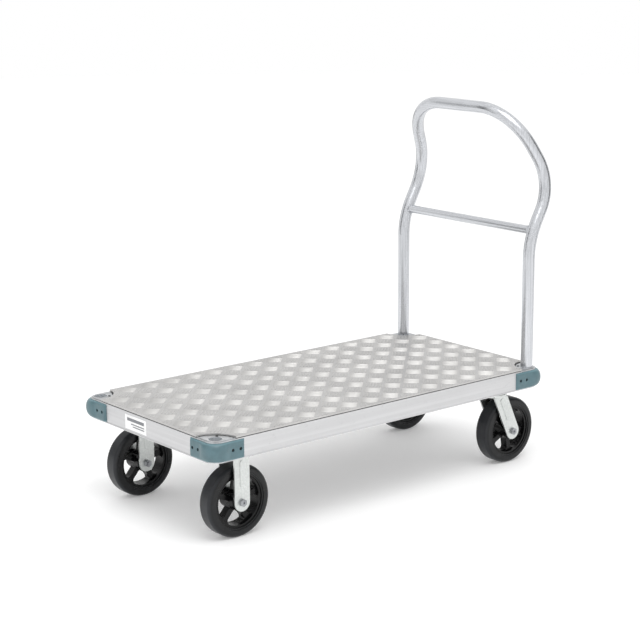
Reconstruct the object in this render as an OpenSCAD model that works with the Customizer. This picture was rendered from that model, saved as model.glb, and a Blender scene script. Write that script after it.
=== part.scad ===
// Platform cart. A tread-plate deck sits on a frame of channel rails joined by cast corners.
// Two rigid casters carry the front, two swivel casters the rear, and a bent push handle
// stands in the two rear corner sockets and lifts out of them.
// +X runs towards the handle, +Y to the pusher's right and +Z up. The origin is on the floor,
// under the middle of the whole cart. Every length is in millimetres.

/* [Deck and frame] */
// Length of the deck over its rails
deck_l = 1219; // [900:1:1800]
// Width of the deck over its rails
deck_w = 610; // [480:1:900]
// Thickness of the tread plate
plate_t = 4.5; // [3:0.5:8]
// Height of the channel rails
rail_h = 59.5; // [45:0.5:90]
// Thickness of the rails' web and flanges
rail_wall = 4; // [3:0.5:6]
// Width of the rails' flanges
flange_w = 30; // [20:1:40]
// Height of the raised lips along the rails' faces
lip_h = 3; // [2:0.5:5]
// How far the lips stand out
lip_out = 1.2; // [0.5:0.1:2]
// Height of the seam between a rail's face and the deck plate
seam_h = 2; // [1:0.5:3]
// Depth of that seam
seam_in = 3; // [1:0.5:5]
// Width of a cross member
cross_w = 40; // [30:1:60]
// Height of a cross member
cross_h = 36; // [25:1:45]
// Thickness of the cross members and bolsters
cross_wall = 4; // [2:0.5:6]

/* [Corners] */
// Radius of the frame's corners, seen from above
corner_round = 32; // [28:1:45]
// Distance from a frame face to the middle of a handle socket
socket_inset = 27.5; // [26:0.5:40]
// Wall of a handle socket
socket_wall = 5; // [3:0.5:8]
// Thickness of the ledge that a handle leg stands on
ledge_t = 6; // [4:0.5:10]
// Radius of the drain hole through that ledge
drain_r = 9; // [4:0.5:12]
// Width of the flange beyond the socket's bore
corner_land = 14; // [10:1:20]
// Gap between a corner's flange and the deck plate
plate_gap = 4; // [2:0.5:6]
// Thickness of a corner's outer wall and top flange
corner_wall = 5; // [4:0.5:8]

/* [Bumpers] */
// Length of a bumper along each face
bumper_leg = 100; // [85:1:140]
// How far a bumper stands out from the frame
bumper_t = 6.5; // [5:0.5:12]
// Radius of a bumper's outer edges
bumper_edge = 4.5; // [2:0.5:5]
// Distance from a bumper's end to its first screw
screw_end = 15; // [10:1:20]
// Distance between the two screws of a leg
screw_pitch = 25; // [18:1:30]

/* [Casters] */
// Diameter of the wheels
wheel_d = 203; // [150:1:250]
// Width of the tyres
tyre_w = 50; // [40:1:60]
// Distance from the deck's end to a caster's middle
caster_end = 122; // [115:1:200]
// Distance from the deck's side to a caster's middle
caster_side = 77; // [75:1:120]
// How far a swivel wheel trails behind its kingpin
swivel_lead = 54; // [35:1:70]
// Gap between tyre and fork crown on a swivel caster
tyre_gap = 16; // [12:1:30]
// Thickness of a caster's top plate
top_plate_t = 6; // [4:0.5:10]
// Length of a caster's top plate
top_plate_l = 114; // [110:1:140]
// Width of a caster's top plate
top_plate_w = 102; // [90:1:120]
// Distance between its bolt holes along the cart
bolt_pitch_x = 92; // [90:1:100]
// Distance between its bolt holes across the cart
bolt_pitch_y = 67; // [60:1:76]
// Height of a swivel race between top plate and fork crown
race_h = 10; // [8:0.5:16]
// Thickness of the fork crown
crown_t = 6; // [4:0.5:8]
// Thickness of the fork legs
leg_t = 5; // [4:0.5:7]
// Width of the fork legs
leg_w = 50; // [36:1:56]
// Half the space between the fork legs
leg_in = 32; // [28:1:38]
// Diameter of an axle bolt
axle_d = 12; // [10:0.5:14]
// Diameter of a kingpin
kingpin_d = 16; // [12:0.5:20]

/* [Wheels] */
// Radius of the core's rim where the tyre is bonded
rim_r = 76; // [60:1:85]
// Thickness of the core's rim
rim_t = 8; // [5:0.5:12]
// Width of the core's rim
rim_w = 40; // [30:1:46]
// Radius of a wheel's hub
hub_r = 27; // [22:0.5:32]
// Number of spokes
spokes = 5; // [4:1:7]
// Width of a spoke, seen from the side
spoke_w = 15; // [10:1:20]
// Depth of a spoke along the axle
spoke_d = 24; // [14:1:36]
// Radius of the tyre's shoulders
shoulder_r = 11; // [6:0.5:14]

/* [Handle] */
// Diameter of the handle's tube
tube_d = 36; // [30:0.5:42]
// Wall of the handle's tube
tube_wall = 3; // [2:0.5:4]
// Height of the lower bend above the deck
low_bend_z = 384; // [300:1:450]
// Height of the upper bend above the deck
high_bend_z = 548; // [500:1:650]
// Height of the grip bar above the deck
grip_z = 766; // [700:1:950]
// How far the upper bend lies behind the legs
bend_back = 90; // [40:1:130]
// How far the grip bar lies in front of the legs
grip_front = 23; // [0:1:60]
// Half the width of the handle at the top, at the corners of its centre line
grip_half = 217; // [200:1:260]
// Bend radius at the lower bend
low_bend_r = 230; // [120:1:260]
// Bend radius at the upper bend
high_bend_r = 163; // [100:1:180]
// Bend radius at the grip bar's corners
grip_bend_r = 164; // [100:1:180]
// Height of the crossbar above the deck
crossbar_z = 410; // [250:1:480]
// Diameter of the crossbar
crossbar_d = 25; // [20:0.5:30]

/* [Label] */
// Length of the blank label
label_l = 104; // [60:1:140]
// Height of the blank label
label_h = 41; // [25:1:45]
// Distance from the cart's middle line to the label's middle
label_y = 57; // [0:1:120]
// Thickness of the blank label
label_t = 0.6; // [0.2:0.1:1]

/* [Fits] */
// Radial clearance between handle leg and socket
socket_fit = 0.4; // [0.2:0.1:1]
// Radial clearance of a turning fit
running_fit = 0.06; // [0.03:0.01:0.1]
// Side clearance between hub and fork legs
hub_gap = 1; // [0.5:0.5:2]

/* [Hidden] */
$fn = 96;

// Directions: front is -X and left is -Y.
FRONT = -1;
REAR = 1;
LEFT = -1;
RIGHT = 1;

// Heights above the floor
wheel_r = wheel_d / 2;
frame_z = wheel_d + tyre_gap + crown_t + race_h + top_plate_t;
rail_top = frame_z + rail_h;
deck_top = rail_top + plate_t;

// Corner sizes, measured from the frame's outer corner
bore_r = tube_d / 2 + socket_fit;
socket_r = bore_r + socket_wall;
flange_r = socket_inset * sqrt(2) + bore_r + corner_land;
corner_leg = flange_r + plate_gap;
tongue_t = 4;
tongue_end = bumper_leg + 6;
tongue_root = 15;
tongue_clear = 0.5;
corner_screw_at = flange_r - corner_land / 2;
corner_screw_l = 8;

// Bumper and screw sizes
bumper_gap = 0.4;
bumper_h = rail_h - seam_h - 2 * (lip_h + bumper_gap);
screw_r = 2.1;
screw_head_r = 4;
screw_head_h = 2;
recess_r = 4.6;
recess_d = 4;
screw_reach = rail_wall + tongue_t + 3;
bumper_screws_at = [bumper_leg - screw_end, bumper_leg - screw_end - screw_pitch];

// Caster places and sizes
caster_x = deck_l / 2 - caster_end;
caster_y = deck_w / 2 - caster_side;
bolt_r = 5;
bolt_af = 16;
bolt_head_h = 6.4;
nut_h = 8;
bolt_end = 2;
hex_corner = bolt_af / 2 / cos(30);
bolster_w = bolt_pitch_x + 2 * (hex_corner + 1 + cross_wall);
leg_out = leg_in + leg_t;
fork_round = 9;
rib_w = 14;
rib_out = 1.5;
rib_foot = 50;
rib_head_gap = 22;
crown_r = 44;
ring_h = 3;
ring_in = 24;
ring_out = 40;
ball_r = 3.4;
ball_pitch_r = 32;
ball_n = 18;
groove_fit = 0.1;
kingpin_r = kingpin_d / 2;
kingpin_head_h = 9;
kingpin_af = 24;
kingpin_gap = 0.3;
plate_round = 8;
swivel_crown_top = frame_z - top_plate_t - race_h;
rigid_crown_top = frame_z - top_plate_t;
cross_x = caster_x / 2;

// Wheel sizes
axle_r = axle_d / 2;
axle_af = 19;
axle_head_h = 7;
axle_nut_h = 9;
axle_end = 4;
axle_recess = 3;
spoke_lap = 6;
bushing_r = 12;
bearing_r = 17;
hub_half = leg_in - hub_gap;
bead_h = 5;
bead_in = 2;
front_spoke_angle = 13;
rear_spoke_angle = -10;

// Handle line, with the deck's middle as the zero of X
tube_r = tube_d / 2;
// A bend's wall is drawn this much thinner on each face, and a run laps this far over it
bend_draw = 0.05;
bend_lap = 1;
crossbar_r = crossbar_d / 2;
handle_x = deck_l / 2 - socket_inset;
handle_y = deck_w / 2 - socket_inset;
foot_z = frame_z + ledge_t;

function unit(v) = v / norm(v);
function bend_angle(a, b) = acos(unit(a) * unit(b));
function bend_trim(a, b, r) = r * tan(bend_angle(a, b) / 2);

// Centre line of one leg from its foot up to the grip bar's corner
function leg_line(side) = [
    [handle_x, side * handle_y, foot_z],
    [handle_x, side * handle_y, deck_top + low_bend_z],
    [handle_x + bend_back, side * handle_y, deck_top + high_bend_z],
    [handle_x - grip_front, side * grip_half, deck_top + grip_z]
];
function backwards(list) = [for (i = [len(list) - 1 : -1 : 0]) list[i]];
handle_line = concat(leg_line(LEFT), backwards(leg_line(RIGHT)));
leg_radii = [0, low_bend_r, high_bend_r, grip_bend_r];
handle_radii = concat(leg_radii, backwards(leg_radii));

// The handle's rearmost point lies in the upper bend, where the tube runs parallel to the YZ plane
low_run = leg_line(LEFT)[2] - leg_line(LEFT)[1];
high_run = leg_line(LEFT)[3] - leg_line(LEFT)[2];
high_start = leg_line(LEFT)[2] - unit(low_run) * bend_trim(low_run, high_run, high_bend_r);
high_turn = unit(unit(high_run) - unit(low_run) * (unit(high_run) * unit(low_run)));
rear_turn = atan2(unit(low_run)[0], -high_turn[0]);
rear_most = high_start[0] + tube_r
    + high_bend_r * (sin(rear_turn) * unit(low_run)[0] + (1 - cos(rear_turn)) * high_turn[0]);
deck_x = (deck_l / 2 + bumper_t - rear_most) / 2;

// How far the legs have leant back at a height above the deck
leg_lean = atan2(bend_back, high_bend_z - low_bend_z);
low_trim = low_bend_r * tan(leg_lean / 2);
function leg_back(h) =
    h < low_bend_z - low_trim ? 0
    : h < low_bend_z + low_trim * cos(leg_lean)
        ? low_bend_r - sqrt(pow(low_bend_r, 2) - pow(h - low_bend_z + low_trim, 2))
    : (h - low_bend_z) * tan(leg_lean);

ALUMINIUM = [0.80, 0.81, 0.82];
CAST = [0.74, 0.75, 0.76];
TEAL = [0.42, 0.56, 0.59];
ZINC = [0.82, 0.84, 0.82];
RUBBER = [0.13, 0.13, 0.14];
IRON = [0.09, 0.09, 0.10];
STEEL = [0.62, 0.63, 0.65];
PAPER = [0.96, 0.96, 0.96];

// ---- Placing ----

module at_deck() {
    translate([deck_x, 0, 0]) children();
}

// Puts a child drawn in a corner's own frame, with both faces running along +X and +Y, at a corner
module at_corner(end, side) {
    translate([end * deck_l / 2, side * deck_w / 2, 0])
        mirror([end == REAR ? 1 : 0, 0, 0])
            mirror([0, side == RIGHT ? 1 : 0, 0])
                children();
}

module at_caster(end, side) {
    translate([end * caster_x, side * caster_y, 0]) children();
}

module at_axle(end, side) {
    at_caster(end, side)
        translate([end == REAR ? swivel_lead : 0, 0, wheel_r]) children();
}

module each_corner() {
    for (end = [FRONT, REAR], side = [LEFT, RIGHT]) at_corner(end, side) children();
}

// Turns a child's Z axis to the Y axis, keeping X, so a side view is drawn as X and Z
module along_y(length) {
    rotate([90, 0, 0]) translate([0, 0, -length / 2]) linear_extrude(length) children();
}

// ---- Flat shapes ----

module rounded_rect(l, w, r) {
    square([l - 2 * r, w], center = true);
    square([l, w - 2 * r], center = true);
    for (sx = [-1, 1], sy = [-1, 1])
        translate([sx * (l / 2 - r), sy * (w / 2 - r)]) circle(r);
}

module ring(r_out, r_in) {
    difference() {
        circle(r_out);
        circle(r_in);
    }
}

// The frame's corner seen from above, grown outwards, with its arms cut off at reach
module corner_area(grow, reach) {
    translate([corner_round, corner_round]) circle(corner_round + grow);
    translate([corner_round, -grow]) square([reach - corner_round, reach + grow]);
    translate([-grow, corner_round]) square([reach + grow, reach - corner_round]);
}

// A rail's section: X runs inwards from its outer face and Y up from its bottom
module rail_section() {
    polygon([
        [-lip_out, 0], [flange_w, 0], [flange_w, rail_wall], [rail_wall, rail_wall],
        [rail_wall, rail_h - rail_wall], [flange_w, rail_h - rail_wall],
        [flange_w, rail_h], [seam_in, rail_h], [seam_in, rail_h - seam_h],
        [-lip_out, rail_h - seam_h], [-lip_out, rail_h - seam_h - lip_h],
        [0, rail_h - seam_h - lip_h], [0, lip_h], [-lip_out, lip_h]
    ]);
}

module channel_section(w, h, wall) {
    difference() {
        translate([-w / 2, 0]) square([w, h]);
        translate([-w / 2 + wall, -1]) square([w - 2 * wall, h - wall + 1]);
    }
}

module hexagon(across_flats) {
    rotate(30) circle(across_flats / 2 / cos(30), $fn = 6);
}

// ---- Frame ----

module deck_plate() {
    color(ALUMINIUM) at_deck() difference() {
        translate([0, 0, rail_top]) linear_extrude(plate_t)
            square([deck_l, deck_w], center = true);
        each_corner() translate([0, 0, rail_top - 1])
            cylinder(r = corner_leg, h = plate_t + 2);
    }
}

// One rail with its outer face on X = 0, running along +Y, drilled for the bumpers' outer screws
module rail(length) {
    difference() {
        translate([0, -length / 2, frame_z])
            rotate([90, 0, 180]) mirror([1, 0, 0]) linear_extrude(length) rail_section();
        for (end = [-1, 1])
            translate([-1, end * (length / 2 + corner_leg - bumper_screws_at[0]),
                       frame_z + rail_h / 2])
                rotate([0, 90, 0]) cylinder(r = screw_r, h = rail_wall + 2);
    }
}

module side_rail(side) {
    color(ALUMINIUM) at_deck() translate([0, side * deck_w / 2, 0])
        rotate([0, 0, -side * 90]) rail(deck_l - 2 * corner_leg);
}

module end_rail(end) {
    color(ALUMINIUM) at_deck() translate([end * deck_l / 2, 0, 0])
        rotate([0, 0, end == FRONT ? 0 : 180]) rail(deck_w - 2 * corner_leg);
}

module cross_member(x) {
    color(ALUMINIUM) at_deck() translate([x, 0, rail_top - cross_h])
        along_y(deck_w - 2 * flange_w) channel_section(cross_w, cross_h, cross_wall);
}

module caster_bolster(end) {
    color(ALUMINIUM) at_deck() difference() {
        translate([end * caster_x, 0, rail_top]) mirror([0, 0, 1])
            along_y(deck_w - 2 * flange_w) channel_section(bolster_w, rail_h, cross_wall);
        each_corner() translate([0, 0, frame_z - 1])
            cylinder(r = corner_leg, h = rail_h + 2);
        for (side = [LEFT, RIGHT]) caster_bolt_places(end, side)
            translate([0, 0, frame_z - 1]) cylinder(r = bolt_r, h = cross_wall + 2);
    }
}

module caster_bolt_places(end, side) {
    at_caster(end, side) for (sx = [-1, 1], sy = [-1, 1])
        translate([sx * bolt_pitch_x / 2, sy * bolt_pitch_y / 2, 0]) children();
}

// ---- Corners and bumpers ----

// Holes for one corner's bumper screws, in the corner's own frame
module bumper_screw_places() {
    for (at = bumper_screws_at) {
        translate([at, 0, frame_z + rail_h / 2]) rotate([-90, 0, 0]) children();
        translate([0, at, frame_z + rail_h / 2]) rotate([0, 90, 0]) children();
    }
}

module corner_wall_solid() {
    linear_extrude(rail_h - seam_h) difference() {
        corner_area(0, corner_leg);
        corner_area(-corner_wall, corner_leg + 1);
    }
    translate([0, 0, rail_h - corner_wall]) linear_extrude(corner_wall) difference() {
        corner_area(-seam_in, corner_leg);
        corner_area(-corner_wall - 1, corner_leg + 1);
    }
    for (z = [0, rail_h - seam_h - lip_h]) translate([0, 0, z]) linear_extrude(lip_h)
        difference() {
            corner_area(lip_out, corner_leg);
            corner_area(-1, corner_leg + 1);
        }
}

module corner_tongues() {
    for (flip = [0, 1]) mirror([flip, -flip, 0])
        translate([corner_leg - tongue_root, rail_wall, rail_wall + tongue_clear])
            cube([tongue_end - corner_leg + tongue_root, tongue_t,
                  rail_h - 2 * (rail_wall + tongue_clear)]);
}

module corner_casting(end, side) {
    color(CAST) at_deck() at_corner(end, side) difference() {
        translate([0, 0, frame_z]) {
            corner_wall_solid();
            corner_tongues();
            translate([0, 0, rail_h - corner_wall]) linear_extrude(corner_wall)
                intersection() {
                    corner_area(-seam_in, corner_leg);
                    circle(flange_r);
                }
            translate([socket_inset, socket_inset, 0]) cylinder(r = socket_r, h = rail_h);
        }
        translate([socket_inset, socket_inset, foot_z]) cylinder(r = bore_r, h = rail_h);
        translate([socket_inset, socket_inset, frame_z - 1])
            cylinder(r = drain_r, h = rail_h);
        bumper_screw_places() translate([0, 0, -1]) cylinder(r = screw_r, h = screw_reach + 1);
        rotate(45) translate([corner_screw_at, 0, rail_top - corner_screw_l])
            cylinder(r = screw_r, h = corner_screw_l + 1);
    }
}

module bumper_section() {
    square([bumper_t - bumper_edge, bumper_h]);
    translate([0, bumper_edge]) square([bumper_t, bumper_h - 2 * bumper_edge]);
    for (z = [bumper_edge, bumper_h - bumper_edge])
        translate([bumper_t - bumper_edge, z]) circle(bumper_edge);
}

// A straight arm of a bumper, along +X with its outer side towards -Y, and bevelled at its end
module bumper_arm() {
    difference() {
        translate([corner_round, 0, 0]) rotate([90, 0, 90])
            linear_extrude(bumper_leg - corner_round) mirror([1, 0, 0])
                intersection() {
                    bumper_section();
                    square([bumper_t, bumper_h]);
                }
        translate([bumper_leg, -bumper_t / 2, -1]) rotate(-45)
            cube([bumper_t * 2, bumper_t * 2, bumper_h + 2]);
    }
}

module bumper(end, side) {
    color(TEAL) at_deck() at_corner(end, side) difference() {
        translate([0, 0, frame_z + lip_h + bumper_gap]) {
            bumper_arm();
            mirror([1, -1, 0]) bumper_arm();
            translate([corner_round, corner_round, 0]) rotate(180) rotate_extrude(angle = 90)
                translate([corner_round, 0]) intersection() {
                    bumper_section();
                    square([bumper_t, bumper_h]);
                }
        }
        bumper_screw_places() {
            translate([0, 0, -bumper_t - 1]) cylinder(r = recess_r, h = recess_d + 1);
            translate([0, 0, -bumper_t]) cylinder(r = screw_r, h = bumper_t + 1);
        }
    }
}

module bumper_screws() {
    color(STEEL) at_deck() each_corner() bumper_screw_places()
        translate([0, 0, recess_d - bumper_t]) {
            translate([0, 0, -screw_head_h]) cylinder(r = screw_head_r, h = screw_head_h);
            cylinder(r = screw_r, h = bumper_t - recess_d + screw_reach);
        }
}

module corner_screws() {
    color(STEEL) at_deck() each_corner() rotate(45)
        translate([corner_screw_at, 0, rail_top]) {
            cylinder(r1 = screw_head_r, r2 = screw_head_r - 1, h = screw_head_h);
            translate([0, 0, -corner_screw_l]) cylinder(r = screw_r, h = corner_screw_l);
        }
}

module label_plate() {
    color(PAPER) at_deck()
        translate([-deck_l / 2 - label_t, label_y - label_l / 2,
                   frame_z + (rail_h - seam_h - label_h) / 2])
            cube([label_t, label_l, label_h]);
}

// ---- Casters ----

module caster_bolts() {
    color(STEEL) at_deck() for (end = [FRONT, REAR], side = [LEFT, RIGHT])
        caster_bolt_places(end, side) translate([0, 0, frame_z - top_plate_t]) {
            translate([0, 0, -bolt_head_h]) linear_extrude(bolt_head_h) hexagon(bolt_af);
            cylinder(r = bolt_r, h = top_plate_t + cross_wall + nut_h + bolt_end);
        }
}

module caster_nuts() {
    color(STEEL) at_deck() for (end = [FRONT, REAR], side = [LEFT, RIGHT])
        caster_bolt_places(end, side) translate([0, 0, frame_z + cross_wall])
            linear_extrude(nut_h) difference() {
                hexagon(bolt_af);
                circle(bolt_r);
            }
}

// A caster's top plate around its own middle, with its four bolt holes
module top_plate() {
    translate([0, 0, frame_z - top_plate_t]) linear_extrude(top_plate_t) difference() {
        rounded_rect(top_plate_l, top_plate_w, plate_round);
        for (sx = [-1, 1], sy = [-1, 1])
            translate([sx * bolt_pitch_x / 2, sy * bolt_pitch_y / 2]) circle(bolt_r);
    }
}

// The fork's bent strip seen along the cart, from below the axle up to the crown's top
module fork_section(crown_top) {
    leg_foot = wheel_r - leg_w;
    difference() {
        union() {
            translate([-leg_out, leg_foot])
                square([2 * leg_out, crown_top - fork_round - leg_foot]);
            translate([-leg_out + fork_round, leg_foot])
                square([2 * (leg_out - fork_round), crown_top - leg_foot]);
            for (side = [-1, 1])
                translate([side * (leg_out - fork_round), crown_top - fork_round])
                    circle(fork_round);
        }
        translate([-leg_in, leg_foot - 1])
            square([2 * leg_in, crown_top - crown_t - leg_foot + 1]);
    }
}

// The raised rib on a leg's outside, from above the axle up to a given height over it
module rib_shape(top) {
    for (z = [rib_foot, top]) translate([0, z]) circle(rib_w / 2);
    translate([-rib_w / 2, rib_foot]) square([rib_w, top - rib_foot]);
}

// A pair of legs and their crown, with the axle a given distance behind the crown's middle
module fork_legs(lead, crown_top) {
    lean = atan2(lead, crown_top - crown_t - wheel_r);
    leg_len = (crown_top - wheel_r) / cos(lean);
    difference() {
        union() {
            intersection() {
                translate([-deck_w / 2, 0, 0]) rotate([90, 0, 90])
                    linear_extrude(deck_w) fork_section(crown_top);
                translate([lead, 0, wheel_r]) along_y(3 * leg_out) rotate(lean) {
                    circle(leg_w / 2);
                    translate([-leg_w / 2, 0]) square([leg_w, leg_len + leg_w]);
                }
            }
            translate([lead, 0, wheel_r]) along_y(2 * (leg_out + rib_out)) rotate(lean)
                rib_shape(leg_len - rib_head_gap);
        }
        // Space for the wheel between the legs
        translate([-deck_w / 2, -leg_in, wheel_r - leg_w - 1])
            cube([deck_w, 2 * leg_in, crown_top - crown_t - wheel_r + leg_w + 1]);
        // Axle hole
        translate([lead, 0, wheel_r]) rotate([90, 0, 0])
            cylinder(r = axle_r, h = 4 * leg_out, center = true);
    }
}

module rigid_fork(side) {
    color(ZINC) at_deck() at_caster(FRONT, side) {
        top_plate();
        fork_legs(0, rigid_crown_top);
    }
}

// The groove that the swivel's balls run in
module ball_groove() {
    translate([0, 0, swivel_crown_top + race_h / 2]) rotate_extrude()
        translate([ball_pitch_r, 0]) circle(ball_r + groove_fit);
}

module swivel_plate(side) {
    color(ZINC) at_deck() at_caster(REAR, side) difference() {
        union() {
            top_plate();
            translate([0, 0, frame_z - top_plate_t - ring_h])
                linear_extrude(ring_h) ring(ring_out, ring_in);
        }
        ball_groove();
        translate([0, 0, frame_z - top_plate_t - 1]) cylinder(r = kingpin_r, h = top_plate_t + 2);
    }
}

module kingpin(side) {
    pin_foot = swivel_crown_top - crown_t - kingpin_gap;
    color(STEEL) at_deck() at_caster(REAR, side) {
        translate([0, 0, pin_foot]) cylinder(r = kingpin_r, h = frame_z - pin_foot);
        translate([0, 0, pin_foot - kingpin_head_h])
            linear_extrude(kingpin_head_h) hexagon(kingpin_af);
    }
}

module swivel_balls(side) {
    color(STEEL) at_deck() at_caster(REAR, side)
        translate([0, 0, swivel_crown_top + race_h / 2])
            for (i = [0 : ball_n - 1]) rotate(i * 360 / ball_n)
                translate([ball_pitch_r, 0, 0]) sphere(ball_r, $fn = 24);
}

module swivel_fork(side) {
    color(ZINC) at_deck() at_caster(REAR, side) difference() {
        union() {
            fork_legs(swivel_lead, swivel_crown_top);
            translate([0, 0, swivel_crown_top - crown_t]) cylinder(r = crown_r, h = crown_t);
            translate([0, 0, swivel_crown_top]) linear_extrude(ring_h) ring(ring_out, ring_in);
        }
        ball_groove();
        translate([0, 0, swivel_crown_top - crown_t - 1])
            cylinder(r = kingpin_r + running_fit, h = crown_t + ring_h + 2);
    }
}

// The axle bolt's head is on the cart's outer side. Its own frame has +Z towards that side
module toward_outside(side) {
    rotate([side == LEFT ? 90 : -90, 0, 0]) children();
}

module axle_bolt() {
    difference() {
        union() {
            translate([0, 0, leg_out]) linear_extrude(axle_head_h) hexagon(axle_af);
            translate([0, 0, -leg_out - axle_nut_h - axle_end])
                cylinder(r = axle_r, h = 2 * leg_out + axle_nut_h + axle_end);
        }
        translate([0, 0, leg_out + axle_head_h - axle_recess])
            cylinder(r = axle_r / 2, h = axle_recess + 1);
    }
}

module axle_nut() {
    translate([0, 0, -leg_out - axle_nut_h]) linear_extrude(axle_nut_h) difference() {
        hexagon(axle_af);
        circle(axle_r);
    }
}

module bushing() {
    translate([0, 0, -leg_in]) linear_extrude(2 * leg_in) ring(bushing_r, axle_r);
}

module rigid_axle_bolts() {
    color(STEEL) at_deck() for (side = [LEFT, RIGHT])
        at_axle(FRONT, side) toward_outside(side) axle_bolt();
}

module rigid_axle_nuts() {
    color(STEEL) at_deck() for (side = [LEFT, RIGHT])
        at_axle(FRONT, side) toward_outside(side) axle_nut();
}

module rigid_bushings() {
    color(STEEL) at_deck() for (side = [LEFT, RIGHT])
        at_axle(FRONT, side) toward_outside(side) bushing();
}

module swivel_axle_bolt(side) {
    color(STEEL) at_deck() at_axle(REAR, side) toward_outside(side) axle_bolt();
}

module swivel_axle_nut(side) {
    color(STEEL) at_deck() at_axle(REAR, side) toward_outside(side) axle_nut();
}

module swivel_bushing(side) {
    color(STEEL) at_deck() at_axle(REAR, side) toward_outside(side) bushing();
}

// ---- Wheels ----

module tyre_section() {
    side = tyre_w / 2;
    translate([rim_r, -side + bead_in]) square([bead_h, tyre_w - 2 * bead_in]);
    translate([rim_r + bead_h, -side])
        square([wheel_r - rim_r - bead_h - shoulder_r, tyre_w]);
    translate([rim_r + bead_h, -side + shoulder_r])
        square([wheel_r - rim_r - bead_h, tyre_w - 2 * shoulder_r]);
    for (s = [-1, 1])
        translate([wheel_r - shoulder_r, s * (side - shoulder_r)]) circle(shoulder_r);
}

module tyre(end, side) {
    color(RUBBER) at_deck() at_axle(end, side) rotate([90, 0, 0])
        rotate_extrude() tyre_section();
}

module wheel_core(end, side) {
    spoke_angle = end == FRONT ? front_spoke_angle : rear_spoke_angle;
    color(IRON) at_deck() at_axle(end, side) rotate([90, 0, 0]) difference() {
        union() {
            translate([0, 0, -rim_w / 2]) linear_extrude(rim_w) ring(rim_r, rim_r - rim_t);
            translate([0, 0, -hub_half]) cylinder(r = hub_r, h = 2 * hub_half);
            for (i = [0 : spokes - 1]) rotate(spoke_angle + i * 360 / spokes)
                translate([hub_r - spoke_lap, -spoke_w / 2, -spoke_d / 2])
                    cube([rim_r - rim_t / 2 - hub_r + spoke_lap, spoke_w, spoke_d]);
        }
        cylinder(r = bearing_r, h = 3 * hub_half, center = true);
    }
}

module wheel_bearing(end, side) {
    color(STEEL) at_deck() at_axle(end, side) rotate([90, 0, 0])
        translate([0, 0, -hub_half]) linear_extrude(2 * hub_half)
            ring(bearing_r, bushing_r + running_fit);
}

// ---- Handle ----

// Where a tube's bends lie: each point's run in, run out and how much its bend takes off both
function runs(line) = [for (i = [0 : len(line) - 2]) line[i + 1] - line[i]];
function trims(line, radii) = let(run = runs(line))
    [for (i = [0 : len(line) - 1])
        i == 0 || i == len(line) - 1 ? 0 : bend_trim(run[i - 1], run[i], radii[i])];
function frame_at(origin, x, y) = let(z = cross(x, y)) [
    [x[0], y[0], z[0], origin[0]],
    [x[1], y[1], z[1], origin[1]],
    [x[2], y[2], z[2], origin[2]],
    [0, 0, 0, 1]
];

// Sweeps a tube, or a solid bar where its wall is its radius, along straight runs and true bends.
// A bend draws its wall a little thinner, so each run laps over the bends at its ends
module bent_tube(line, radii, r, wall) {
    run = runs(line);
    trim = trims(line, radii);
    for (i = [0 : len(run) - 1]) {
        along = unit(run[i]);
        aside = unit(cross(along, abs(along[0]) > 0.9 ? [0, 1, 0] : [1, 0, 0]));
        lap_in = i == 0 ? 0 : bend_lap;
        lap_out = i == len(run) - 1 ? 0 : bend_lap;
        start = line[i] + along * (trim[i] - lap_in);
        multmatrix(frame_at(start, aside, cross(along, aside)))
            linear_extrude(norm(run[i]) - trim[i] - trim[i + 1] + lap_in + lap_out)
                tube_section(r, wall);
    }
    for (i = [1 : len(line) - 2]) {
        along = unit(run[i - 1]);
        inward = unit(unit(run[i]) - along * (unit(run[i]) * along));
        middle = line[i] - along * trim[i] + inward * radii[i];
        multmatrix(frame_at(middle, -inward, along))
            rotate_extrude(angle = bend_angle(run[i - 1], run[i]))
                translate([radii[i], 0]) tube_section(r - bend_draw, wall - 2 * bend_draw);
    }
}

module tube_section(r, wall) {
    if (wall < r / 2) ring(r, r - wall);
    else circle(r);
}

module handle_tube() {
    color(ALUMINIUM) at_deck() bent_tube(handle_line, handle_radii, tube_r, tube_wall);
}

// The crossbar is coped to the legs' outsides
module handle_crossbar() {
    color(ALUMINIUM) at_deck() difference() {
        translate([handle_x + leg_back(crossbar_z), 0, deck_top + crossbar_z])
            rotate([90, 0, 0]) cylinder(r = crossbar_r, h = 2 * handle_y, center = true);
        for (side = [LEFT, RIGHT])
            bent_tube([for (i = [0 : 2]) leg_line(side)[i]], leg_radii, tube_r, tube_r);
    }
}

deck_plate();
side_rail(LEFT);  // side_rail_left
side_rail(RIGHT);  // side_rail_right
end_rail(FRONT);  // end_rail_front
end_rail(REAR);  // end_rail_rear
cross_member(-cross_x);  // cross_member_front
cross_member(0);  // cross_member_middle
cross_member(cross_x);  // cross_member_rear
caster_bolster(FRONT);  // caster_bolster_front
caster_bolster(REAR);  // caster_bolster_rear
corner_casting(FRONT, LEFT);  // corner_front_left
corner_casting(FRONT, RIGHT);  // corner_front_right
corner_casting(REAR, LEFT);  // corner_rear_left
corner_casting(REAR, RIGHT);  // corner_rear_right
bumper(FRONT, LEFT);  // bumper_front_left
bumper(FRONT, RIGHT);  // bumper_front_right
bumper(REAR, LEFT);  // bumper_rear_left
bumper(REAR, RIGHT);  // bumper_rear_right
bumper_screws();
corner_screws();
label_plate();
caster_bolts();
caster_nuts();
rigid_fork(LEFT);  // rigid_fork_left
rigid_fork(RIGHT);  // rigid_fork_right
rigid_axle_bolts();
rigid_axle_nuts();
rigid_bushings();
swivel_plate(LEFT);  // swivel_plate_left
swivel_plate(RIGHT);  // swivel_plate_right
kingpin(LEFT);  // kingpin_left
kingpin(RIGHT);  // kingpin_right
swivel_balls(LEFT);  // swivel_balls_left
swivel_balls(RIGHT);  // swivel_balls_right
swivel_fork(LEFT);  // swivel_fork_left
swivel_fork(RIGHT);  // swivel_fork_right
swivel_axle_bolt(LEFT);  // swivel_axle_bolt_left
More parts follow.
